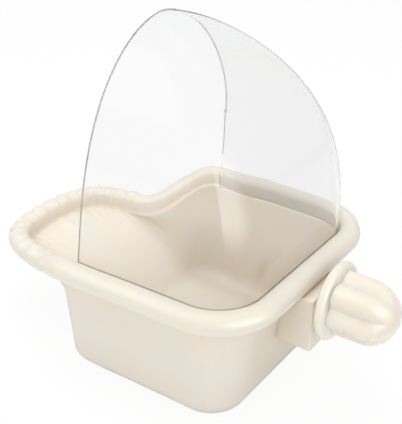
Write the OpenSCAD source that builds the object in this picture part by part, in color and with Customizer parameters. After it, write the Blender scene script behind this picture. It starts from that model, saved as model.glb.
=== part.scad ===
// Bird bath for the side of a cage: a moulded tub with a rolled rim and a
// dipped landing tongue, a clear one-piece hood standing inside the rim, and
// a loose ring with a fluted nut that clamp the cage bars against a block.
// Units are mm. Origin at the centre of the flat base, +Z up, +X to the cage.

/* [Tub] */
// Width inside the rim, where the hood stands
basin_w = 105; // [90:1:125]
// Length inside the rim, front wall to back wall
basin_l = 92; // [84:1:112]
// Height of the rolled rim's top over the base
tub_h = 62; // [52:1:72]
// Wall thickness
wall = 2.2; // [1.8:0.1:2.8]
// Radius of the tub's back corners, inside
back_r = 19; // [14:1:26]
// Narrowing of the basin to the back, each side
taper = 2.8; // [0:0.2:4]
// Radius of the rolled rim's section
roll_r = 5; // [4:0.1:5.6]
// How far the walls lean in from rim to floor
draft_in = 2.5; // [1:0.5:5]
// How far the floor sits towards the front
floor_shift = 3; // [0:0.5:4]
// Radius between walls and floor, inside
floor_r = 9; // [6:0.5:12]

/* [Tongue] */
// Reach of the landing tongue in front of the front wall
tongue_l = 60; // [46:1:70]
// Width of the tongue over its rim
tongue_w = 82; // [70:1:90]
// How far the tongue's rim lies below the main rim
tongue_dip = 19; // [10:0.5:22]
// Number of grip ribs across the tongue's rim
ribs = 17; // [9:2:17]
// Height of a grip rib
rib_h = 0.6; // [0.3:0.1:0.9]

/* [Hood] */
// Height of the hood above the rim's hood line
hood_h = 95; // [80:1:110]
// Depth of the hood at its foot, front edge to back
hood_l = 75.5; // [65:0.5:85]
// Thickness of the clear shell
hood_t = 1.5; // [1.2:0.1:1.7]
// Play between the hood's foot and the tub
hood_play = 0.15; // [0.1:0.05:0.3]

/* [Clamp] */
// Side of the square block on the back wall
block_s = 25; // [22:1:28]
// How far the block stands out from the wall
block_l = 13; // [9:0.5:15]
// Diameter of the stud
stud_d = 12; // [10:0.5:14]
// Outside diameter of the ring
ring_d = 33.4; // [29:0.2:36]
// Thickness of the ring
ring_t = 4; // [3:0.5:5]
// Diameter of the nut over its ribs
knob_d = 27.4; // [24:0.2:30]
// Length of the nut
knob_l = 25; // [23:0.5:32]
// Depth of the hollows between the nut's lobes
flute = 3; // [1:0.1:3.4]

/* [Hidden] */
// points on curved sections
$fn = 48;
// plan: hood line = top edge of the inner wall
hw = basin_w / 2;
x_back = basin_l / 2 + floor_shift;
x_front = x_back - basin_l;
// centre of the rolled rim, outward of the hood line
roll_g = roll_r * 0.866;
roll_z = tub_h - roll_r;
// ledge that carries the hood
ledge_w = 1.8;
ledge_d = 2.6;
hood_z = roll_z + roll_r / 2;
ledge_z = roll_z - ledge_d;
// rim loop of the tongue, at the centre of the roll
tip_x = x_front - tongue_l + roll_r;
tw = tongue_w / 2 - roll_r;
hood_x = x_back - hood_l;
// stations round half the tub: back, corner, side, shoulder, tongue
n_back = 3;
n_corner = 8;
n_side = 4;
n_shoulder = 9;
n_tongue = 26;
front_r = 15;

function mix(a, b, t) = a + (b - a) * t;
function smooth(t) = t * t * (3 - 2 * t);
function unit(v) = v / norm(v);
function bez(a, b, c, d, t) =
  a * pow(1 - t, 3) + 3 * b * t * pow(1 - t, 2)
  + 3 * c * t * t * (1 - t) + d * pow(t, 3);
function arc(c, r, a) = c + r * [cos(a), sin(a)];

// half loops, from the middle of the back round to the middle of the tip
wall_half = concat(
  [for (i = [0:n_back - 1]) [x_back, (hw - back_r) * i / n_back]],
  [for (i = [0:n_corner]) arc([x_back - back_r, hw - back_r],
    back_r, 90 * i / n_corner)],
  [for (i = [1:n_side]) [mix(x_back - back_r, hood_x, i / n_side), hw]],
  [for (i = [1:n_shoulder]) arc([x_front + front_r, hw - front_r], front_r,
    90 + 90 * smooth(i / n_shoulder))],
  [for (i = [1:n_tongue]) [x_front, (hw - front_r) * (1 - i / n_tongue)]]);
front_half = concat(
  [for (i = [1:n_shoulder]) bez([hood_x, hw + roll_g],
    [mix(hood_x, x_front, 1.45), hw + roll_g],
    [mix(x_front, tip_x, 0.12), tw], [mix(x_front, tip_x, 0.45), tw],
    i / n_shoulder)],
  [for (i = [1:n_tongue]) bez([mix(x_front, tip_x, 0.45), tw],
    [mix(x_front, tip_x, 0.95), tw * 0.9], [tip_x, tw * 0.72], [tip_x, 0],
    i / n_tongue)]);
// 0 along the body, 1 along the tongue
body_n = n_back + n_corner + 1 + n_side;
half_n = body_n + n_shoulder + n_tongue;
function sway(i) = smooth(min(max((i - body_n + 1) / n_shoulder, 0), 1));
// rib height at a station of the tongue
function rib(i) = i < body_n + n_shoulder ? 0
  : let (k = (i - half_n + 1) * ribs / (2 * n_tongue))
    rib_h * pow(cos(180 * k), 2);
// full loops; the basin narrows to the back
loop_n = 2 * half_n - 2;
function fold(i) = let (k = (i + loop_n) % loop_n) k < half_n ? k : loop_n - k;
function mirror_y(p, i) = (i + loop_n) % loop_n < half_n ? p : [p[0], -p[1]];
function narrow(p) = [p[0], p[1] - taper * min(1, p[1] / (hw - back_r))
  * min(1, max(0, (p[0] - hood_x) / hood_l))];
function wall_at(i) = mirror_y(narrow(wall_half[fold(i)]), i);
function across(a, b) = let (d = unit(b - a)) [d[1], -d[0]];
function wall_out(i) = across(wall_at(i - 1), wall_at(i + 1));
function rim_at(i) = fold(i) < body_n ? wall_at(i) + wall_out(i) * roll_g
  : mirror_y(front_half[fold(i) - body_n], i);
function rim_out(i) = fold(i) < body_n ? wall_out(i)
  : across(rim_at(i - 1), rim_at(i + 1));
function roll_zi(i) = roll_z - tongue_dip * sway(fold(i))
  + 2 * pow(max(0, (fold(i) - body_n - n_shoulder) / n_tongue), 2);

fillet_n = 4;
ramp_n = 6;
// inner wall of one station, floor edge to ledge; grow pushes it outward
function skin(i, grow) =
  let (s = sway(fold(i)), w = wall_at(i), wn = wall_out(i),
    r = rim_at(i), rn = rim_out(i), z = roll_zi(i),
    c = w - wn * (ledge_w + draft_in + floor_r) - [floor_shift, 0],
    top = 90 - 50 * s, fr = floor_r + grow,
    fil = [for (k = [0:fillet_n]) let (a = top * k / fillet_n)
      [c[0] + wn[0] * fr * sin(a), c[1] + wn[1] * fr * sin(a),
        wall + floor_r - fr * cos(a)]],
    a0 = fil[fillet_n], e = r - rn * (roll_g + ledge_w - grow),
    drop = s * (1.2 + 0.9 * grow),
    a1 = [e[0], e[1], z - ledge_d - drop],
    m1 = mix(mix(a0, a1, 1 / 3), [mix(a0[0], a1[0], 0.28),
      mix(a0[1], a1[1], 0.28), mix(a0[2], a1[2], 0.42)], s),
    m2 = mix(mix(a0, a1, 2 / 3), [mix(a0[0], a1[0], 0.62),
      mix(a0[1], a1[1], 0.62), mix(a0[2], a1[2], 1.02)], s))
  concat(fil, [for (k = [1:ramp_n]) bez(a0, m1, m2, a1, k / ramp_n)]);
// a point of the rolled rim: outward and upward from the roll's centre
function roll_p(i, u, v) = let (r = rim_at(i), n = rim_out(i))
  [r[0] + n[0] * u, r[1] + n[1] * u, roll_zi(i) + v];
roll_a = [150, 122, 95, 68, 40, 10, -20, -50];
under_a = [-50, -10, 35, 80, 120];
function station(i) = let (b = rib(fold(i)), r1 = roll_r, r2 = roll_r - wall,
    inner = skin(i, 0), outer = skin(i, wall))
  concat(inner,
    [roll_p(i, -roll_g - sway(fold(i)), -ledge_d)],
    [for (a = roll_a) roll_p(i, (r1 + (a > 20 ? b : 0)) * cos(a),
      (r1 + (a > 20 ? b : 0)) * sin(a))],
    [for (a = under_a) roll_p(i, r2 * cos(a), r2 * sin(a))],
    [roll_p(i, wall - roll_g, -ledge_d + 1)],
    [for (k = [0:len(outer) - 1]) outer[len(outer) - 1 - k]]);

module shell_of(rings) {
  m = len(rings[0]);
  n = len(rings);
  pts = concat([for (r = rings) each r], [[0, 0, wall], [0, 0, 0]]);
  body = [for (i = [0:n - 1], j = [0:m - 2]) let (a = i * m + j,
    b = ((i + 1) % n) * m + j) each [[a, b + 1, a + 1], [a, b, b + 1]]];
  floor_in = [for (i = [0:n - 1]) [((i + 1) % n) * m, i * m, n * m]];
  floor_out = [for (i = [0:n - 1])
    [i * m + m - 1, ((i + 1) % n) * m + m - 1, n * m + 1]];
  polyhedron(pts, concat(body, floor_in, floor_out), convexity = 10);
}

// clamp axis
axis_z = hood_z - 10.4;
block_x = x_back + wall - ledge_w;
face_x = block_x + block_l;
stud_l = knob_l - 4;
block_e = 0.8;

module tub() color([0.95, 0.93, 0.87]) {
  shell_of([for (i = [0:loop_n - 1]) station(i)]);
  translate([block_x - 3, -block_s / 2, axis_z - 8 - block_s / 2]) hull() {
    cube([block_l + 3 - block_e, block_s, block_s]);
    translate([0, block_e, block_e])
      cube([block_l + 3, block_s - 2 * block_e, block_s - 2 * block_e]);
  }
  translate([face_x - 1, 0, axis_z]) rotate([0, 90, 0])
    cylinder(d = stud_d, h = stud_l + 1);
}

// hood: U-shaped sections that close in towards the top of the front arch
sec_n = 15;
apex_x = hood_x + 6.5;
function front_x(z) = let (q = max(z, 0) / hood_h)
  hood_x + 15.4 * q - 8.9 * q * q;
// foot outline: the tub's wall stations, moved inward
function foot_line(inset) = [for (k = [body_n - 1:-1:1 - body_n])
  let (p = wall_at(k) - wall_out(k) * (hood_play + inset))
    [abs(k) == body_n - 1 ? hood_x : p[0], p[1]]];
function hood_sec(line, k, inset) = let (t = 90 * k / sec_n,
    f = pow(cos(t), 1.117), z = (hood_h - inset) * pow(sin(t), 0.727),
    x0 = front_x(z), xb = apex_x + (x_back - apex_x) * pow(f, 1.3),
    s = (xb - x0) / hood_l)
  [for (p = line) [x0 + (p[0] - hood_x) * s, p[1] * f, hood_z + z]];
function hood_skin(inset) = let (line = foot_line(inset))
  concat([[for (p = line) [p[0], p[1], ledge_z]]],
    [for (k = [0:sec_n - 1]) hood_sec(line, k, inset)]);

module hood() color([0.85, 0.9, 0.92, 0.35]) {
  outer = hood_skin(0);
  inner = hood_skin(hood_t);
  m = len(outer[0]);
  n = len(outer);
  s = n * m;
  top_o = 2 * s;
  top_i = 2 * s + 1;
  pts = concat([for (r = outer) each r], [for (r = inner) each r],
    [[apex_x, 0, hood_z + hood_h], [apex_x, 0, hood_z + hood_h - hood_t]]);
  skin_o = [for (i = [0:n - 2], j = [0:m - 2]) let (a = i * m + j, b = a + m)
    each [[a, b + 1, b], [a, a + 1, b + 1]]];
  skin_i = [for (f = skin_o) [f[2] + s, f[1] + s, f[0] + s]];
  cap_o = [for (j = [0:m - 2]) [(n - 1) * m + j, (n - 1) * m + j + 1, top_o]];
  cap_i = [for (j = [0:m - 2])
    [s + (n - 1) * m + j + 1, s + (n - 1) * m + j, top_i]];
  rim = [for (j = [0:m - 2]) each [[j, j + 1 + s, j + 1], [j, j + s, j + 1 + s]]];
  edge_a = [for (i = [0:n - 2]) let (a = i * m)
    each [[a, a + m + s, a + s], [a, a + m, a + m + s]]];
  edge_b = [for (i = [0:n - 2]) let (a = i * m + m - 1)
    each [[a + s, a + m, a], [a + s, a + m + s, a + m]]];
  tip = let (a = (n - 1) * m, b = a + m - 1)
    [[a, top_i, a + s], [a, top_o, top_i], [b + s, top_o, b], [b + s, top_i, top_o]];
  polyhedron(pts, concat(skin_o, skin_i, cap_o, cap_i, rim, edge_a, edge_b, tip),
    convexity = 8);
}

// loose ring and nut on the stud
bar_gap = 2;
ring_x = face_x + bar_gap;
nut_x = ring_x + ring_t;
play = 0.05;

module ring() color([0.95, 0.93, 0.87])
  translate([ring_x, 0, axis_z]) rotate([0, 90, 0]) rotate_extrude()
    translate([stud_d / 2 + 0.3, 0]) let (w = ring_d / 2 - stud_d / 2 - 0.3)
      polygon([[0, 0], [w - 1, 0], [w, 1], [w, ring_t - 1], [w - 1, ring_t],
        [0, ring_t]]);

// nut: six round lobes that run over a round end, with a blind bore for the stud
lobes = 6;
per_lobe = 8;
lobe_turn = 42.5;
nut_n = lobes * per_lobe;
nut_r = knob_d / 2;
dome_n = 7;
nut_z = concat([0, 0.8, (knob_l - nut_r * 0.95) / 2],
  [for (k = [0:dome_n - 1]) knob_l - nut_r * 0.95 * (1 - sin(90 * k / dome_n))]);
nut_s = concat([nut_r - 0.6, nut_r, nut_r * 0.99],
  [for (k = [0:dome_n - 1]) nut_r * 0.98 * cos(90 * k / dome_n)]);
function hollow(a) = 1 - abs(cos(lobes * (a - lobe_turn) / 2));
nut_pts = concat([for (k = [0:len(nut_z) - 1], i = [0:nut_n - 1])
    let (a = 360 * i / nut_n + lobe_turn, r = nut_s[k] * (1 - flute / nut_r * hollow(a)))
    [r * cos(a), r * sin(a), nut_z[k]]],
  [[0, 0, 0], [0, 0, knob_l]]);
nut_faces = let (n = nut_n, m = len(nut_z)) concat(
  [for (k = [0:m - 2], i = [0:n - 1]) let (a = k * n + i,
    b = k * n + (i + 1) % n) each [[a, a + n, b + n], [a, b + n, b]]],
  [for (i = [0:n - 1]) [i, (i + 1) % n, m * n]],
  [for (i = [0:n - 1]) [(m - 1) * n + (i + 1) % n, (m - 1) * n + i, m * n + 1]]);

module knob() color([0.95, 0.93, 0.87])
  translate([nut_x, 0, axis_z]) rotate([0, 90, 0]) difference() {
    polyhedron(nut_pts, nut_faces);
    translate([0, 0, -1]) cylinder(d = stud_d + 2 * play,
      h = face_x + stud_l - nut_x + bar_gap + 1.6);
  }

tub();
hood();
ring();
knob();
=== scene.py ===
"""Cage bird bath: finer pieces, materials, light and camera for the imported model.

The pieces are worked out in millimetres; mesh_of() turns them into metres.
"""
import bpy
import bmesh
import math
import numpy as np
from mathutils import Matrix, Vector


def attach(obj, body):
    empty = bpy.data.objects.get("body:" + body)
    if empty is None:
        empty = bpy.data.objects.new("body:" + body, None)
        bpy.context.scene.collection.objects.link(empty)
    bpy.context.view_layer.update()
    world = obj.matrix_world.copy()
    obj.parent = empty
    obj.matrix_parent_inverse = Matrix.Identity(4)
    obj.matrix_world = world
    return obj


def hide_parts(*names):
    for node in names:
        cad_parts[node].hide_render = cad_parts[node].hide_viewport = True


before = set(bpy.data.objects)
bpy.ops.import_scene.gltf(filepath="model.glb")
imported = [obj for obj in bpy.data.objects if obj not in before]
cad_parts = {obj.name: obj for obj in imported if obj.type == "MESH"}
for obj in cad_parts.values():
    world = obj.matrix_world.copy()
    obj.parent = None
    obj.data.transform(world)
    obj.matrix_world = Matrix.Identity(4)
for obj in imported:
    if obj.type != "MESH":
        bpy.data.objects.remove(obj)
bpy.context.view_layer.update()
scene = bpy.context.scene

# ---------------------------------------------------------------- camera
SENSOR = 36.0                # mm
LONG_SIDE = 424.0            # of the photo, px
FOCAL = 764.75               # px
PITCH, AZIMUTH = math.radians(27.8), math.radians(36.01)
EYE = Vector((0.17341, -0.24060, 0.22542))

cam_data = bpy.data.cameras.new("camera")
cam_data.sensor_width = SENSOR
cam_data.lens = FOCAL * SENSOR / LONG_SIDE
cam_data.clip_start, cam_data.clip_end = 0.01, 20.0
cam = bpy.data.objects.new("camera", cam_data)
ahead = Vector((-math.sin(AZIMUTH) * math.cos(PITCH),
                math.cos(AZIMUTH) * math.cos(PITCH), -math.sin(PITCH)))
cam.rotation_mode = "QUATERNION"
cam.location = EYE
cam.rotation_quaternion = ahead.to_track_quat("-Z", "Y")
scene.collection.objects.link(cam)
scene.camera = cam

# ------------------------------------------- sizes in mm, as in the part's source
BASIN_W = 105.0              # inside the rim, where the hood stands
BASIN_L = 92.0
TUB_H = 62.0                 # top of the rolled rim
WALL = 2.2
BACK_R = 19.0                # back corners, inside
TAPER = 2.8                  # narrowing to the back, each side
ROLL_R = 5.0                 # the rolled rim's section
DRAFT_IN = 2.5               # lean of the walls
FLOOR_SHIFT = 3.0            # the floor sits towards the front
FLOOR_R = 9.0                # between walls and floor, inside
FRONT_R = 15.0
LEDGE_W, LEDGE_D = 1.8, 2.6  # the ledge that carries the hood
TONGUE_L, TONGUE_W, TONGUE_DIP = 60.0, 82.0, 19.0
RIBS, RIB_H = 17, 0.6
HOOD_H, HOOD_L, HOOD_T, HOOD_PLAY = 95.0, 75.5, 1.5, 0.15
BLOCK_S, BLOCK_L = 25.0, 13.0
STUD_D = 12.0
RING_D, RING_T = 33.4, 4.0
KNOB_D, KNOB_L = 27.4, 25.0
LOBES, LOBE_TURN, FLUTE = 6, 42.5, 3.0

HW = BASIN_W / 2
X_BACK = BASIN_L / 2 + FLOOR_SHIFT
X_FRONT = X_BACK - BASIN_L
ROLL_G = ROLL_R * 0.866      # from the hood line out to the roll's centre
ROLL_Z = TUB_H - ROLL_R
HOOD_Z = ROLL_Z + ROLL_R / 2
LEDGE_Z = ROLL_Z - LEDGE_D
TIP_X = X_FRONT - TONGUE_L + ROLL_R
TW = TONGUE_W / 2 - ROLL_R
HOOD_X = X_BACK - HOOD_L
APEX_X = HOOD_X + 6.5

AXIS_Z = HOOD_Z - 10.4       # the clamp's axis
FACE_X = X_BACK + WALL - LEDGE_W + BLOCK_L
RING_X = FACE_X + 2
NUT_X = RING_X + RING_T
STUD_L = KNOB_L - 4

# stations along half the rim: back, corner, side, shoulder, tongue
N_BACK, N_CORNER, N_SIDE, N_SHOULDER, N_TONGUE = 3, 8, 4, 9, 26
BODY = N_BACK + N_CORNER + N_SIDE
SHOULDER = BODY + N_SHOULDER
HALF = SHOULDER + N_TONGUE
LOOP = 2 * HALF


# ---------------------------------------------------------------- curves
def mix(a, b, t):
    return a + (b - a) * t


def smooth(t):
    t = np.clip(t, 0.0, 1.0)
    return t * t * (3 - 2 * t)


def bez(a, b, c, d, t):
    return (a * (1 - t) ** 3 + 3 * b * t * (1 - t) ** 2
            + 3 * c * t * t * (1 - t) + d * t ** 3)


def arc(cx, cy, r, deg):
    a = np.radians(deg)
    return np.stack([cx + r * np.cos(a), cy + r * np.sin(a)], -1)


def fold(u):
    """A place on the loop as its station on the half loop, and the side it is on."""
    u = np.mod(u, LOOP)
    return np.where(u <= HALF, u, LOOP - u), np.where(u <= HALF, 1.0, -1.0)


def places(*spans):
    """Even places along each (length, steps) span, from the middle of the back on."""
    out, at = [], 0
    for length, steps in spans:
        out.append(np.linspace(at, at + length, steps + 1)[:-1])
        at += length
    return np.concatenate(out + [[at]])


# ---------------------------------------------------------------- the tub's plan
def wall_at(u):
    """Top edge of the inner wall, which is also the hood's line."""
    k, side = fold(u)
    one = np.ones_like(k)
    back = np.stack([X_BACK * one, (HW - BACK_R) * k / N_BACK], -1)
    corner = arc(X_BACK - BACK_R, HW - BACK_R, BACK_R, 90 * (k - N_BACK) / N_CORNER)
    run = np.stack([mix(X_BACK - BACK_R, HOOD_X, (k - N_BACK - N_CORNER) / N_SIDE),
                    HW * one], -1)
    t = (k - BODY) / N_SHOULDER
    turn = arc(X_FRONT + FRONT_R, HW - FRONT_R, FRONT_R, 90 + 90 * smooth(t))
    turn[:, 0] += (HOOD_X - X_FRONT - FRONT_R) * (1 - np.clip(t, 0, 1)) ** 3
    front = np.stack([X_FRONT * one,
                      (HW - FRONT_R) * (1 - (k - SHOULDER) / N_TONGUE)], -1)
    k = k[:, None]
    p = front
    for last, part in ((SHOULDER, turn), (BODY, run), (N_BACK + N_CORNER, corner),
                       (N_BACK, back)):
        p = np.where(k <= last, part, p)
    q = np.clip((p[:, 0] - HOOD_X) / HOOD_L, 0, 1)
    p[:, 1] -= TAPER * np.minimum(1, p[:, 1] / (HW - BACK_R)) * q * smooth(3 * q)
    p[:, 1] *= side
    return p


def across(line, u, h=0.02):
    """Outward direction of a line in the plan."""
    d = line(u + h) - line(u - h)
    d /= np.linalg.norm(d, axis=1)[:, None]
    return np.stack([d[:, 1], -d[:, 0]], -1)


def rim_front(u):
    """Centre of the roll from the hood's front to the tip: two curves that meet at mid."""
    k, side = fold(u)
    to_mid = (k - BODY)[:, None] / N_SHOULDER
    to_tip = (k - SHOULDER)[:, None] / N_TONGUE
    mid = np.array([mix(X_FRONT, TIP_X, 0.45), TW])
    a = bez(np.array([HOOD_X, HW + ROLL_G]),
            np.array([mix(HOOD_X, X_FRONT, 1.45), HW + ROLL_G]),
            np.array([mix(X_FRONT, TIP_X, 0.12), TW]), mid, to_mid)
    b = bez(mid, np.array([mix(X_FRONT, TIP_X, 0.95), TW * 0.9]),
            np.array([TIP_X, TW * 0.72]), np.array([TIP_X, 0.0]), to_tip)
    p = np.where(to_tip <= 0, a, b)
    p[:, 1] *= side
    return p


def rim_at(u):
    k, _ = fold(u)
    return np.where((k <= BODY)[:, None], wall_at(u) + across(wall_at, u) * ROLL_G,
                    rim_front(u))


def sway(k):
    """0 along the body, 1 along the tongue."""
    return smooth((k - BODY) / N_SHOULDER)


def roll_z(k):
    return (ROLL_Z - TONGUE_DIP * sway(k)
            + 2 * np.maximum(0, (k - SHOULDER) / N_TONGUE) ** 2)


def rib(k):
    """Height of the grip ribs at a station."""
    c = np.cos(np.pi * (k - HALF) * RIBS / (2 * N_TONGUE)) ** 2
    return RIB_H * smooth((c - 0.25) / 0.6) * smooth((k - SHOULDER) / 1.2)


# ---------------------------------------------------------------- the tub's section
FILLET_STEPS, RAMP_IN, RAMP_OUT = 10, 16, 12
INNER_ROWS = FILLET_STEPS + RAMP_IN      # rows of the inside skin


def ring_of_points(u):
    """The tub's section at every place, row by row, with the corners to be rounded.

    The rows run from the floor up the inside, over the ledge and the roll, back
    under the roll and down the outside.
    """
    k, _ = fold(u)
    s, b = sway(k), rib(k)
    w, wn = wall_at(u), across(wall_at, u)
    r, rn = rim_at(u), across(rim_at, u)
    z = roll_z(k)
    rows = []

    def put(xy, zz):
        rows.append(np.concatenate([xy, zz[:, None]], 1))

    def skin(grow, ramp_steps):
        """Fillet and ramp of one skin; grow pushes it outward."""
        c = w - wn * (LEDGE_W + DRAFT_IN + FLOOR_R) - np.array([FLOOR_SHIFT, 0])
        top, fr = 90 - 50 * s, FLOOR_R + grow
        out = []
        for q in range(FILLET_STEPS + 1):
            a = np.radians(top * q / FILLET_STEPS)
            out.append(np.concatenate([c + wn * (fr * np.sin(a))[:, None],
                                       (WALL + FLOOR_R - fr * np.cos(a))[:, None]], 1))
        a0 = out[-1]
        e = r - rn * (ROLL_G + LEDGE_W - grow)
        a1 = np.concatenate([e, (z - LEDGE_D - s * (1.2 + 0.9 * grow))[:, None]], 1)
        lo, hi = np.array([0.28, 0.28, 0.42]), np.array([0.62, 0.62, 1.02])
        m1 = mix(mix(a0, a1, 1 / 3), a0 + (a1 - a0) * lo, s[:, None])
        m2 = mix(mix(a0, a1, 2 / 3), a0 + (a1 - a0) * hi, s[:, None])
        for q in range(1, ramp_steps + 1):
            p = bez(a0, m1, m2, a1, q / ramp_steps)
            if grow == 0:
                p[:, 2] += b * 0.75 * float(smooth((q / ramp_steps - 0.62) / 0.3))
            out.append(p)
        return out

    rows += skin(0.0, RAMP_IN)
    ledge_edge = len(rows) - 1
    put(r - rn * (ROLL_G + 1.0 * s)[:, None], z - LEDGE_D + b * 0.75)
    ledge_root = len(rows) - 1
    for deg in range(150, -51, -8):
        rr = ROLL_R + b * float(smooth((deg - 5) / 25))
        a = math.radians(deg)
        put(r + rn * (rr * math.cos(a))[:, None], z + rr * math.sin(a))
    lip = len(rows) - 1
    for deg in (-50, -35, -10, 15, 40, 65, 90, 120):
        a, rr = math.radians(deg), ROLL_R - WALL
        put(r + rn * (rr * math.cos(a)), z + rr * math.sin(a))
    put(r + rn * (WALL - ROLL_G), z - LEDGE_D + 1)
    rows += skin(WALL, RAMP_OUT)[::-1]
    return rows, s, {ledge_edge: (0.8, 1.6), ledge_root: (0.35, 1.2),
                     lip: (0.5, 0.5), lip + 1: (0.5, 0.5)}


def eased(rows, s, corners):
    """Round the named rows; each has its radius on the body and on the tongue."""
    out = []
    for i, p in enumerate(rows):
        if i not in corners:
            out.append(p)
            continue
        on_body, on_tongue = corners[i]
        a, c = rows[i - 1] - p, rows[i + 1] - p
        la = np.linalg.norm(a, axis=1)[:, None]
        lc = np.linalg.norm(c, axis=1)[:, None]
        rad = mix(on_body, on_tongue, s)[:, None]
        pa = p + a / la * np.minimum(rad, la * 0.45)
        pc = p + c / lc * np.minimum(rad, lc * 0.45)
        for t in (0.0, 0.25, 0.5, 0.75, 1.0):
            out.append(pa * (1 - t) ** 2 + 2 * p * t * (1 - t) + pc * t * t)
    return out


FLOW_REACH, FLOW_ROWS, FLOW_FADE = 3.0, 24, 14


def flowed(pts, u):
    """Let the inside skin flow along the rim's length, so no crease is left in the basin."""
    gap = np.abs(u[:, None] - u[None, :])
    gap = np.minimum(gap, LOOP - gap)
    stride = np.abs(np.roll(u, -1) - np.roll(u, 1)) / 2
    stride = np.where(stride > LOOP / 4, LOOP / 2 - stride, stride)
    w = np.exp(-0.5 * (gap / FLOW_REACH) ** 2) * stride[None, :]
    w /= w.sum(1)[:, None]
    k, _ = fold(u)
    near = (smooth((k - BODY + FLOW_FADE) / FLOW_FADE)
            * smooth((SHOULDER + 22 - k) / FLOW_FADE))
    for r in range(FLOW_ROWS):
        share = (near * float(smooth((FLOW_ROWS - r) / 7.0)))[:, None]
        pts[:, r] = mix(pts[:, r], w @ pts[:, r], share)
    return pts


# ---------------------------------------------------------------- meshes
def mesh_of(name, verts, faces, slots=None, sharp=None):
    """Mesh in metres; slots gives faces another material slot than the first."""
    m = bpy.data.meshes.new(name)
    m.from_pydata((np.asarray(verts) / 1000.0).tolist(), [], faces)
    for slot, chosen in (slots or {}).items():
        for k in chosen:
            m.polygons[k].material_index = slot
    bm = bmesh.new()
    bm.from_mesh(m)
    bmesh.ops.remove_doubles(bm, verts=bm.verts, dist=1e-7)
    bmesh.ops.recalc_face_normals(bm, faces=bm.faces)
    return shaded(m, bm, sharp)


def shaded(m, bm, sharp):
    """Put bm into mesh m, smooth but for edges over sharp degrees."""
    bm.to_mesh(m)
    bm.free()
    for p in m.polygons:
        p.use_smooth = True
    m.update()
    if sharp is not None:
        m.set_sharp_from_angle(angle=math.radians(sharp))
    return m


def grid_faces(n, m, closed_n=True, closed_m=False, start=0):
    """Quads of n rows with m points each."""
    f = []
    for i in range(n if closed_n else n - 1):
        for j in range(m if closed_m else m - 1):
            i2, j2 = (i + 1) % n, (j + 1) % m
            f.append((start + i * m + j, start + i2 * m + j,
                      start + i2 * m + j2, start + i * m + j2))
    return f


def fan(row, m, tip, flip=False):
    """Triangles from a closed row of m points to one point."""
    ends = [(row + j, row + (j + 1) % m) for j in range(m)]
    return [(b, a, tip) if flip else (a, b, tip) for a, b in ends]


def round_row(x, r, m):
    """A row of m points round the clamp's axis."""
    turns = [2 * math.pi * j / m for j in range(m)]
    return [[x, r * math.cos(a), AXIS_Z + r * math.sin(a)] for a in turns]


def piece(name, mesh, material, body):
    o = bpy.data.objects.new(name, mesh)
    scene.collection.objects.link(o)
    o.data.materials.append(material)
    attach(o, body)
    return o


# ---------------------------------------------------------------- shader nodes
MIX_A, MIX_B, MIX_OUT = 6, 7, 2      # the colour sockets of a mix node


def new_material(name):
    m = bpy.data.materials.new(name)
    m.use_nodes = True
    t = m.node_tree
    return m, t, t.nodes["Principled BSDF"]


def node(t, kind, **values):
    """New node; each value is a setting of the node, or else of the input so named."""
    n = t.nodes.new(kind)
    for k, v in values.items():
        if hasattr(n, k):
            setattr(n, k, v)
        else:
            n.inputs[k.replace("_", " ")].default_value = v
    return n


def wire(t, *pairs):
    for source, socket in pairs:
        t.links.new(source, socket)


def setting(shader, **values):
    for k, v in values.items():
        shader.inputs[k.replace("_", " ")].default_value = v


def maths(t, operation, *terms):
    """Result of a math node; each term is a number or a socket."""
    n = node(t, "ShaderNodeMath", operation=operation)
    for term, socket in zip(terms, n.inputs):
        if isinstance(term, (int, float)):
            socket.default_value = term
        else:
            t.links.new(term, socket)
    return n.outputs[0]


def ranged(t, source, kind="LINEAR", **ends):
    n = node(t, "ShaderNodeMapRange", interpolation_type=kind, **ends)
    t.links.new(source, n.inputs["Value"])
    return n.outputs["Result"]


def ramp_up(t, source, low, high):
    """0 at low, 1 at high, with soft ends."""
    return ranged(t, source, "SMOOTHSTEP", From_Min=low, From_Max=high)


def bump(t, height, strength, distance, over=None):
    n = node(t, "ShaderNodeBump", Strength=strength, Distance=distance)
    t.links.new(height, n.inputs["Height"])
    if over is not None:
        t.links.new(over, n.inputs["Normal"])
    return n.outputs["Normal"]


def noise(t, where, scale, detail, rough):
    n = node(t, "ShaderNodeTexNoise", Scale=scale, Detail=detail, Roughness=rough)
    t.links.new(where, n.inputs["Vector"])
    return n.outputs["Fac"]


# ---------------------------------------------------------------- materials
NOOK_SHADE_REACH = 0.030                   # m
PAINTED_NOOK_SHADE = (0.88, 0.80, 0.655, 1)   # painted shade: corners and overhangs get this darker warm colour, for the light the pale plastic bounces into them


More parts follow.
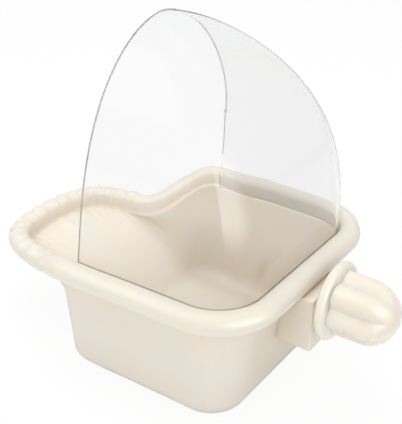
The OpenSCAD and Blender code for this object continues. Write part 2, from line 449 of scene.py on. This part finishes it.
def moulded(name, light, deep, rough=0.34, glow=0.45):
    """Satin moulded plastic: cloudy colour, fine grain, a little translucent, with painted
    warm shade in its corners.
    """
    m, t, s = new_material(name)
    at = t.nodes.new("ShaderNodeTexCoord").outputs["Object"]
    cloud = t.nodes.new("ShaderNodeValToRGB")
    for stop, place, colour in zip(cloud.color_ramp.elements, (0.30, 0.72), (deep, light)):
        stop.position = place
        stop.color = (*colour, 1)
    # painted shade: ambient occlusion darkens and warms the base colour in corners and under
    # overhangs
    occlusion = node(t, "ShaderNodeAmbientOcclusion", samples=6, only_local=True,
                Distance=NOOK_SHADE_REACH)
    nook_shade = node(t, "ShaderNodeMix", data_type="RGBA")
    nook_shade.inputs[MIX_A].default_value = PAINTED_NOOK_SHADE
    nook_shade.inputs[MIX_B].default_value = (1, 1, 1, 1)
    tint = node(t, "ShaderNodeMix", data_type="RGBA", blend_type="MULTIPLY")
    tint.inputs[0].default_value = 1.0
    wire(t, (noise(t, at, 26.0, 3.0, 0.55), cloud.inputs["Fac"]),
         (ranged(t, occlusion.outputs["AO"], From_Min=0.05, From_Max=0.97), nook_shade.inputs[0]),
         (cloud.outputs["Color"], tint.inputs[MIX_A]),
         (nook_shade.outputs[MIX_OUT], tint.inputs[MIX_B]),
         (tint.outputs[MIX_OUT], s.inputs["Base Color"]))
    wave = noise(t, at, 60.0, 1.0, 0.4)
    grain = bump(t, noise(t, at, 1500.0, 2.0, 0.5), 0.10, 0.0002)
    wire(t, (ranged(t, wave, To_Min=rough - 0.05, To_Max=rough + 0.07),
             s.inputs["Roughness"]),
         (bump(t, wave, 0.08, 0.0015, over=grain), s.inputs["Normal"]))
    setting(s, Specular_IOR_Level=0.45, Coat_Weight=0.45, Coat_Roughness=0.22,
            Subsurface_Weight=glow, Subsurface_Radius=(1.0, 0.6, 0.3),
            Subsurface_Scale=0.0045)
    return m


def clear(name, tone, rough, lets_by, through=1.0):
    """Clear moulded plastic with faint flow waves; each face lets this share of light by."""
    m, t, s = new_material(name)
    at = t.nodes.new("ShaderNodeTexCoord").outputs["Object"]
    setting(s, Base_Color=(*tone, 1), Roughness=rough, IOR=1.33,
            Specular_IOR_Level=1.0, Transmission_Weight=through)
    past = t.nodes.new("ShaderNodeBsdfTransparent")
    past.inputs["Color"].default_value = (lets_by, lets_by, lets_by * 0.99, 1)
    path = t.nodes.new("ShaderNodeLightPath")
    pick = t.nodes.new("ShaderNodeMixShader")
    wire(t, (bump(t, noise(t, at, 16.0, 2.0, 0.4), 0.05, 0.002), s.inputs["Normal"]),
         (path.outputs["Is Shadow Ray"], pick.inputs["Fac"]),
         (s.outputs[0], pick.inputs[1]), (past.outputs[0], pick.inputs[2]),
         (pick.outputs[0], t.nodes["Material Output"].inputs["Surface"]))
    return m


TUB = moulded("cream_tub", (0.80, 0.757, 0.682), (0.785, 0.737, 0.657))
CLAMP = moulded("cream_clamp", (0.82, 0.78, 0.70), (0.805, 0.76, 0.675),
                rough=0.28, glow=0.85)
HOOD = clear("clear_hood", (0.945, 0.947, 0.95), 0.04, 0.88)
# cut edge of the arch: rough and less clear, and greyed as painted shade for the dark line
# that refraction gives the edge
EDGE_SHADE = clear("clear_hood_edge_painted_shade", (0.72, 0.71, 0.69), 0.45, 0.7, through=0.3)
# painted shade: a brown tinted strip that stands in for the shade line where the hood meets
# the rim
SEAT_SHADE_LINE = clear("clear_hood_painted_seat_shade", (0.50, 0.42, 0.32), 0.4, 0.7, through=0.6)

# ---------------------------------------------------------------- tub
half = places((N_BACK, 12), (N_CORNER, 36), (N_SIDE, 12), (N_SHOULDER, 40),
              (N_TONGUE, 156))
u = np.concatenate([half, LOOP - half[-2:0:-1]])
pts = flowed(np.stack(eased(*ring_of_points(u)), 1), u)
n, m = pts.shape[:2]
verts = pts.reshape(-1, 3).tolist() + [[0, 0, WALL], [0, 0, 0]]
faces = grid_faces(n, m)
faces += [(((i + 1) % n) * m, i * m, n * m) for i in range(n)]
faces += [(i * m + m - 1, ((i + 1) % n) * m + m - 1, n * m + 1) for i in range(n)]
tub = piece("tub_shell", mesh_of("tub_shell", verts, faces), TUB, "tub")


def block_mesh():
    """The square block; its root follows the middle of the back wall."""
    bm = bmesh.new()
    bmesh.ops.create_cube(bm, size=1.0)
    back = pts[0, :INNER_ROWS]
    for v in bm.verts:
        z = AXIS_Z - 8 + v.co.z * BLOCK_S
        root = float(np.interp(z, back[:, 2], back[:, 0])) + WALL / 2
        v.co.x = (root if v.co.x < 0 else FACE_X) / 1000
        v.co.y = v.co.y * BLOCK_S / 1000
        v.co.z = z / 1000
    outer = [e for e in bm.edges if max(v.co.x for v in e.verts) > FACE_X / 1000 - 1e-5]
    bmesh.ops.bevel(bm, geom=outer, offset=0.0009, segments=4, profile=0.5,
                    affect="EDGES", clamp_overlap=True)
    return shaded(bpy.data.meshes.new("tub_block"), bm, 40)


def stud_mesh(pitch=4.0, depth=0.75, around=56, along=132, chamfer=0.9):
    """The stud with its coarse thread."""
    x0, x1 = FACE_X - 1, FACE_X + STUD_L
    vs = []
    for i in range(along + 1):
        x = mix(x0, x1, i / along)
        start = float(smooth((x - FACE_X - 1.5) / 1.5))
        end = max(0.0, x - (x1 - chamfer)) * 0.9
        for j in range(around):
            a = 2 * math.pi * j / around
            turn = ((x - FACE_X) / pitch - j / around) % 1.0
            cut = min(1.0, max(0.0, (abs(turn - 0.5) - 0.14) / 0.2)) * start
            r = STUD_D / 2 - depth * cut - end
            vs.append([x, r * math.cos(a), AXIS_Z + r * math.sin(a)])
    c = len(vs)
    vs += [[x0, 0, AXIS_Z], [x1, 0, AXIS_Z]]
    fs = grid_faces(along + 1, around, closed_n=False, closed_m=True)
    fs += fan(0, around, c) + fan(along * around, around, c + 1, flip=True)
    return mesh_of("tub_stud", vs, fs, sharp=50)


# block and stud are one moulding with the tub
block = piece("tub_block", block_mesh(), TUB, "tub")
stud = piece("tub_stud", stud_mesh(), TUB, "tub")
with bpy.context.temp_override(active_object=tub, object=tub,
                               selected_editable_objects=[tub, block, stud],
                               selected_objects=[tub, block, stud]):
    bpy.ops.object.join()
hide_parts("tub")


# ---------------------------------------------------------------- hood
def front_x(z):
    """The front arch leans back as it rises."""
    q = max(z, 0.0) / HOOD_H
    return HOOD_X + 15.4 * q - 8.9 * q * q


def foot_line(inset):
    half = places((N_BACK, 12), (N_CORNER, 30), (N_SIDE, 16))
    line = np.concatenate([half[::-1], -half[1:]])
    p = wall_at(line) - across(wall_at, line) * (HOOD_PLAY + inset)
    p[0, 0] = p[-1, 0] = HOOD_X
    return p


def softened(line, reach=5.0):
    """The same line with its corners eased in and out along their length."""
    run = np.concatenate([[0], np.cumsum(np.linalg.norm(np.diff(line, axis=0), axis=1))])
    out = np.empty_like(line)
    for i, at in enumerate(run):
        span = min(reach, at, run[-1] - at)
        if span < 1e-6:
            out[i] = line[i]
            continue
        d = np.linspace(-2 * span, 2 * span, 41)
        w = np.exp(-0.5 * (d / span) ** 2)
        at_d = np.clip(at + d, 0, run[-1])
        out[i] = [np.sum(w * np.interp(at_d, run, line[:, c])) / w.sum() for c in (0, 1)]
    out[:, 0] = np.maximum(out[:, 0], HOOD_X)
    out[0], out[-1] = line[0], line[-1]
    return out


def hood_rows(inset, top_n=72):
    """U-shaped rows from the foot up that close in towards the top of the arch."""
    foot = foot_line(inset)
    eased_foot = softened(foot)
    out = [np.column_stack([foot, np.full(len(foot), z)]) for z in (LEDGE_Z, HOOD_Z - 1.2)]
    for deg in [0.0, 0.035, 0.10] + [90 * q / top_n for q in range(1, top_n)]:
        t = math.radians(deg)
        f = math.cos(t) ** 1.117
        z = (HOOD_H - inset) * math.sin(t) ** 0.727
        x0 = front_x(z)
        k = (APEX_X + (X_BACK - APEX_X) * f ** 1.3 - x0) / HOOD_L
        line = mix(foot, eased_foot, float(smooth(z / 9.0)))
        out.append(np.column_stack([x0 + (line[:, 0] - HOOD_X) * k, line[:, 1] * f,
                                    np.full(len(line), HOOD_Z + z)]))
    return out


CLEAR_EDGE_H = 13      # the far cut edge is left clear, with no painted dark-line shade, up to here over the rim
SEAT_SHADE_H = 0.7         # painted shade: a dark strip on the hood at the foot, where the hood meets the rim


def hood_mesh():
    """Slots: 0 clear, 1 cut edge of the arch, greyed as painted shade, 2 painted shade strip
    at the foot.
    """
    outer, inner = hood_rows(0.0), hood_rows(HOOD_T)
    n, m = len(outer), len(outer[0])
    s = n * m
    vs = np.concatenate(outer + inner).tolist()
    vs += [[APEX_X, 0, HOOD_Z + HOOD_H], [APEX_X, 0, HOOD_Z + HOOD_H - HOOD_T]]
    fs = grid_faces(n, m, closed_n=False)
    fs += [tuple(v + s for v in f[::-1]) for f in grid_faces(n, m, closed_n=False)]
    fs += [((n - 1) * m + j, (n - 1) * m + j + 1, 2 * s) for j in range(m - 1)]
    fs += [(s + (n - 1) * m + j + 1, s + (n - 1) * m + j, 2 * s + 1)
           for j in range(m - 1)]
    fs += [(j, j + 1, j + 1 + s, j + s) for j in range(m - 1)]
    cut = len(fs)
    clear_edge = []
    for j in (0, m - 1):
        clear_edge += [len(fs) + i for i in range(n - 1) if outer[i][j, 1] > 0
                     and outer[i][j, 2] < HOOD_Z + CLEAR_EDGE_H]
        fs += [(i * m + j, (i + 1) * m + j, (i + 1) * m + j + s, i * m + j + s)
               for i in range(n - 1)]
        fs.append(((n - 1) * m + j, 2 * s, 2 * s + 1, (n - 1) * m + j + s))
    # faces of the painted shade strip at the foot
    seat_shade = [i * (m - 1) + j for i in range(n - 1) for j in range(m - 1)
            if HOOD_Z - 0.1 < outer[i][0, 2] < HOOD_Z + SEAT_SHADE_H
            and outer[i][j, 1] < HW - 4]
    return mesh_of("hood_shell", vs, fs, sharp=42,
                   slots={1: range(cut, len(fs)), 2: seat_shade, 0: clear_edge})


hood = piece("hood_shell", hood_mesh(), HOOD, "hood")
hood.data.materials.append(EDGE_SHADE)
hood.data.materials.append(SEAT_SHADE_LINE)
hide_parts("hood")


# ---------------------------------------------------------------- ring
def rounded(r0, r1, t, ease_in, ease_out, n=6):
    """Closed section of a washer: bore at r0, outside at r1, thickness t."""
    out = []
    for cr, cx, e, a0 in ((r0 + ease_in, ease_in, ease_in, 180),
                          (r1 - ease_out, ease_out, ease_out, 270),
                          (r1 - ease_out, t - ease_out, ease_out, 0),
                          (r0 + ease_in, t - ease_in, ease_in, 90)):
        for k in range(n + 1):
            a = math.radians(a0 + 90 * k / n)
            out.append((cr + e * math.cos(a), cx + e * math.sin(a)))
    return out


def ring_mesh(around=128):
    section = rounded(STUD_D / 2 + 0.3, RING_D / 2, RING_T, 0.4, 1.7)
    vs = [p for r, x in section for p in round_row(RING_X + x, r, around)]
    return mesh_of("clamp_ring", vs, grid_faces(len(section), around, closed_m=True),
                   sharp=60)


ring = piece("clamp_ring", ring_mesh(), CLAMP, "ring")
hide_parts("ring")

# ---------------------------------------------------------------- nut
NUT_R = KNOB_D / 2
DOME_H = NUT_R * 0.95
DOME_X = KNOB_L - DOME_H


def lobe_r(deg, depth):
    """Outline of six round lobes, as a share of the radius over the lobes."""
    c = math.cos(math.radians(LOBES * (deg - LOBE_TURN) / 2))
    return 1 - depth * FLUTE / NUT_R * (1 - math.sqrt((c * c + 0.025) / 1.025))


def nut_mesh(around=168, dome_n=22):
    def row(x, radius):
        """Points from the bottom round; radius gives the radius at an angle."""
        for j in range(around):
            a = 360 * j / around
            r, t = radius(a), math.radians(a)
            vs.append([NUT_X + x, r * math.sin(t), AXIS_Z - r * math.cos(t)])

    # rows of the outside: place from the flat end, share of the radius
    rows = [(0.0, 0.97), (0.12, 0.985), (0.4, 0.997), (1.3, 1.0)]
    rows += [(mix(1.3, DOME_X, k / 8), mix(1.0, 0.985, k / 8)) for k in range(1, 8)]
    for k in range(dome_n):
        t = math.radians(90 * k / dome_n)
        rows.append((KNOB_L - DOME_H * (1 - math.sin(t)), 0.985 * math.cos(t)))
    vs = []
    for x, share in rows:
        # the hollows between the lobes fade out over the round end
        depth = 1 - 0.65 * float(smooth((x - DOME_X - 1) / (0.95 * DOME_H)))
        row(x, lambda a: NUT_R * share * lobe_r(a, depth))
    tip = len(vs)
    vs.append([NUT_X + KNOB_L, 0, AXIS_Z])
    fs = grid_faces(len(rows), around, closed_n=False, closed_m=True)
    fs += fan(tip - around, around, tip)

    # blind bore for the stud
    bore_r, bore_l = STUD_D / 2 + 0.05, FACE_X + STUD_L - NUT_X + 2.6
    base = len(vs)
    for x, r in ((0.0, bore_r + 0.5), (0.5, bore_r), (bore_l, bore_r)):
        row(x, lambda a: r)
    end = len(vs)
    vs.append([NUT_X + bore_l, 0, AXIS_Z])
    fs += grid_faces(3, around, closed_n=False, closed_m=True, start=base)
    fs += fan(end - around, around, end)
    fs += [(j, (j + 1) % around, base + (j + 1) % around, base + j)
           for j in range(around)]
    return mesh_of("clamp_nut", vs, fs, sharp=55)


nut = piece("clamp_nut", nut_mesh(), CLAMP, "knob")
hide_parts("knob")
for each in (ring, nut):
    each.visible_glossy = False


# ---------------------------------------------------------------- floor
def seen_white(t):
    """Light path node, and 1 for what the camera sees, straight or through the hood."""
    path = t.nodes.new("ShaderNodeLightPath")
    either = maths(t, "MAXIMUM", path.outputs["Is Camera Ray"],
                   path.outputs["Is Transmission Ray"])
    early = maths(t, "LESS_THAN", path.outputs["Diffuse Depth"], 0.5)
    return path, maths(t, "MULTIPLY", either, early)


FLOOR_WHITE = 0.93       # the rest of what is seen of the floor is its own shading

bpy.ops.mesh.primitive_plane_add(size=12.0, location=(0, 0, -0.0002))
floor = bpy.context.object
floor.name = "floor"
fm, ft, fs = new_material("floor_pale")
setting(fs, Base_Color=(0.93, 0.93, 0.93, 1), Roughness=0.9, Specular_IOR_Level=0.1)
pale = node(ft, "ShaderNodeEmission", Color=(1, 1, 1, 1), Strength=1.0)
mixer = ft.nodes.new("ShaderNodeMixShader")
wire(ft, (maths(ft, "MULTIPLY", seen_white(ft)[1], FLOOR_WHITE), mixer.inputs["Fac"]),
     (fs.outputs[0], mixer.inputs[1]), (pale.outputs[0], mixer.inputs[2]),
     (mixer.outputs[0], ft.nodes["Material Output"].inputs["Surface"]))
floor.data.materials.append(fm)

# ------------------- lit card beside the bath, seen only as the hood's upright reflection
CARD_ENDS = Vector((0.30, 0.14, 0)), Vector((0.26, -0.26, 0))
CARD_TALL = Vector((0, 0, 0.36))
CARD_LIGHT = 4.0
# soft ends across and up the card: axis, where it is dark, where it is lit
CARD_FADES = (("X", 0.0, 0.55), ("X", 1.0, 0.84), ("Y", 1.0, 0.5), ("Y", -0.05, 0.25))

card_mesh = bpy.data.meshes.new("card")
card_mesh.from_pydata([CARD_ENDS[0], CARD_ENDS[1], CARD_ENDS[1] + CARD_TALL,
                       CARD_ENDS[0] + CARD_TALL], [], [(0, 1, 2, 3)])
card_mesh.uv_layers.new(name="UVMap")
for loop, uv in zip(card_mesh.uv_layers[0].data, ((0, 0), (1, 0), (1, 1), (0, 1))):
    loop.uv = uv
card = bpy.data.objects.new("card", card_mesh)
scene.collection.objects.link(card)
cm, ct, cs = new_material("card_light")
ct.nodes.remove(cs)
uvw = ct.nodes.new("ShaderNodeSeparateXYZ")
wire(ct, (ct.nodes.new("ShaderNodeUVMap").outputs["UV"], uvw.inputs[0]))
power = CARD_LIGHT
for axis, dark, full in CARD_FADES:
    power = maths(ct, "MULTIPLY", power, ramp_up(ct, uvw.outputs[axis], dark, full))
lit = ct.nodes.new("ShaderNodeEmission")
air = ct.nodes.new("ShaderNodeBsdfTransparent")
added = ct.nodes.new("ShaderNodeAddShader")
wire(ct, (power, lit.inputs["Strength"]), (air.outputs[0], added.inputs[0]),
     (lit.outputs[0], added.inputs[1]),
     (added.outputs[0], ct.nodes["Material Output"].inputs["Surface"]))
card_mesh.materials.append(cm)
card.visible_camera = card.visible_diffuse = card.visible_shadow = False

# ---------------------------------------------------------------- world
# soft boxes that glossy rays see over an even glow:
# brightness, azimuth and height in degrees as (dark, lit, lit, dark)
GLOSSY_GLOW = 0.92
SOFT_BOXES = ((1.6, (-179, -160, -128, -100), (20, 34, 52, 70)),
              (0.3, (50, 90, 115, 160), (36, 52, 58, 74)))

world = bpy.data.worlds.new("world")
scene.world = world
world.use_nodes = True
wt = world.node_tree
plain = wt.nodes["Background"]
setting(plain, Color=(1.0, 0.99, 0.975, 1), Strength=0.445)
white = node(wt, "ShaderNodeBackground", Color=(1, 1, 1, 1), Strength=1.0)
world_path, seen = seen_white(wt)

way = wt.nodes.new("ShaderNodeSeparateXYZ")
wire(wt, (wt.nodes.new("ShaderNodeTexCoord").outputs["Generated"], way.inputs[0]))
azimuth = maths(wt, "ARCTAN2", way.outputs["Y"], way.outputs["X"])


def between(source, dark_low, low, high, dark_high):
    return maths(wt, "MULTIPLY", ramp_up(wt, source, dark_low, low),
                 ramp_up(wt, source, dark_high, high))


total = GLOSSY_GLOW
for bright, turns, heights in SOFT_BOXES:
    box = maths(wt, "MULTIPLY",
                between(azimuth, *(math.radians(v) for v in turns)),
                between(way.outputs["Z"], *(math.sin(math.radians(v)) for v in heights)))
    total = maths(wt, "MULTIPLY_ADD", box, bright, total)
boxes = wt.nodes.new("ShaderNodeBackground")
by_gloss = wt.nodes.new("ShaderNodeMixShader")
by_sight = wt.nodes.new("ShaderNodeMixShader")
wire(wt, (total, boxes.inputs["Strength"]),
     (world_path.outputs["Is Glossy Ray"], by_gloss.inputs["Fac"]),
     (plain.outputs[0], by_gloss.inputs[1]), (boxes.outputs[0], by_gloss.inputs[2]),
     (seen, by_sight.inputs["Fac"]),
     (by_gloss.outputs[0], by_sight.inputs[1]), (white.outputs[0], by_sight.inputs[2]),
     (by_sight.outputs[0], wt.nodes["World Output"].inputs["Surface"]))


# ---------------------------------------------------------------- lamps
def lamp(name, place, aim, size, watts):
    d = bpy.data.lights.new(name, "AREA")
    d.shape = "RECTANGLE"
    d.size, d.size_y = size
    d.energy = watts
    o = bpy.data.objects.new(name, d)
    o.location = place
    o.rotation_mode = "QUATERNION"
    o.rotation_quaternion = (Vector(aim) - Vector(place)).to_track_quat("-Z", "Y")
    o.visible_glossy = o.visible_transmission = False
    scene.collection.objects.link(o)


lamp("key", (-0.12, -0.02, 1.5), (0, 0, 0.05), (1.2, 1.2), 14.8)
lamp("front", (0.25, -1.32, 0.85), (0, 0, 0.08), (0.9, 0.9), 4.4)
lamp("right", (1.45, 0.25, 0.95), (0, 0, 0.08), (0.9, 0.9), 1.3)
lamp("side", (0.60, -0.47, 0.24), (0.03, 0, 0.09), (0.34, 0.56), 0.7)

scene.view_settings.view_transform = "Standard"
